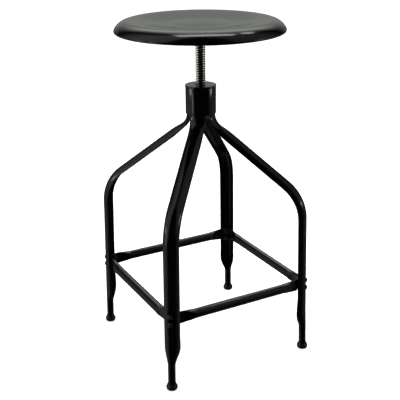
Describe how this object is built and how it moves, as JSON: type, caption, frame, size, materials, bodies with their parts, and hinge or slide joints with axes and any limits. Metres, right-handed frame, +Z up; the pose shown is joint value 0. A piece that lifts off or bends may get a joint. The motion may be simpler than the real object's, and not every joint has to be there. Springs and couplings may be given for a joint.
{
  "type": "adjustable swivel stool",
  "caption": "Round dished steel seat on a screw spindle, over bent channel legs joined by rungs near the floor; turning the seat raises or lowers it.",
  "frame": {"origin": "centre of the footprint, on the floor", "axes": "+Z up along the spindle, -Y front, +X right; the legs stand on the diagonals"},
  "size_m": [0.3642, 0.3642, 0.745],
  "materials": {
    "seat_paint": "satin black paint on pressed sheet steel",
    "frame_paint": "satin black paint on steel",
    "bright_steel": "bright zinc-plated screw steel, lightly oiled",
    "plain_steel": "plain turned steel",
    "zinc_fastener": "zinc plated",
    "black_fastener": "black oxide",
    "foot_plastic": "moulded, fine matt grain"
  },
  "bodies": {
    "frame": {"collar_sleeve": "frame_paint", "collar_cap": "frame_paint", "inner_tube": "plain_steel", "threaded_bush": "plain_steel", "leg_front_right": "frame_paint", "leg_back_right": "frame_paint", "leg_back_left": "frame_paint", "leg_front_left": "frame_paint", "rung_front": "frame_paint", "rung_right": "frame_paint", "rung_back": "frame_paint", "rung_left": "frame_paint", "rung_bolts": "black_fastener", "rung_washers": "black_fastener", "rung_nuts": "black_fastener", "foot_front_right": "foot_plastic", "foot_back_right": "foot_plastic", "foot_back_left": "foot_plastic", "foot_front_left": "foot_plastic"},
    "lift": {"stop_washer": "zinc_fastener"},
    "seat": {"seat_pan": "seat_paint", "mounting_plate": "frame_paint", "spindle_hub": "plain_steel", "hub_locking_screw": "black_fastener", "spindle": "bright_steel", "stop_bolt": "zinc_fastener"}
  },
  "joints": [
    {"name": "seat_rise", "type": "slide", "parent": "frame", "child": "lift", "axis": [0, 0, 1], "range_m": [-0.11, 0.005]},
    {"name": "seat_turn", "type": "hinge", "parent": "lift", "child": "seat", "pos_m": [0, 0, 0.6], "axis": [0, 0, 1], "range_deg": [-7920, 360]}
  ],
  "couplings": [
    {"joint": "seat_rise", "follows": "seat_turn", "m_per_rad": 0.00079577}
  ]
}
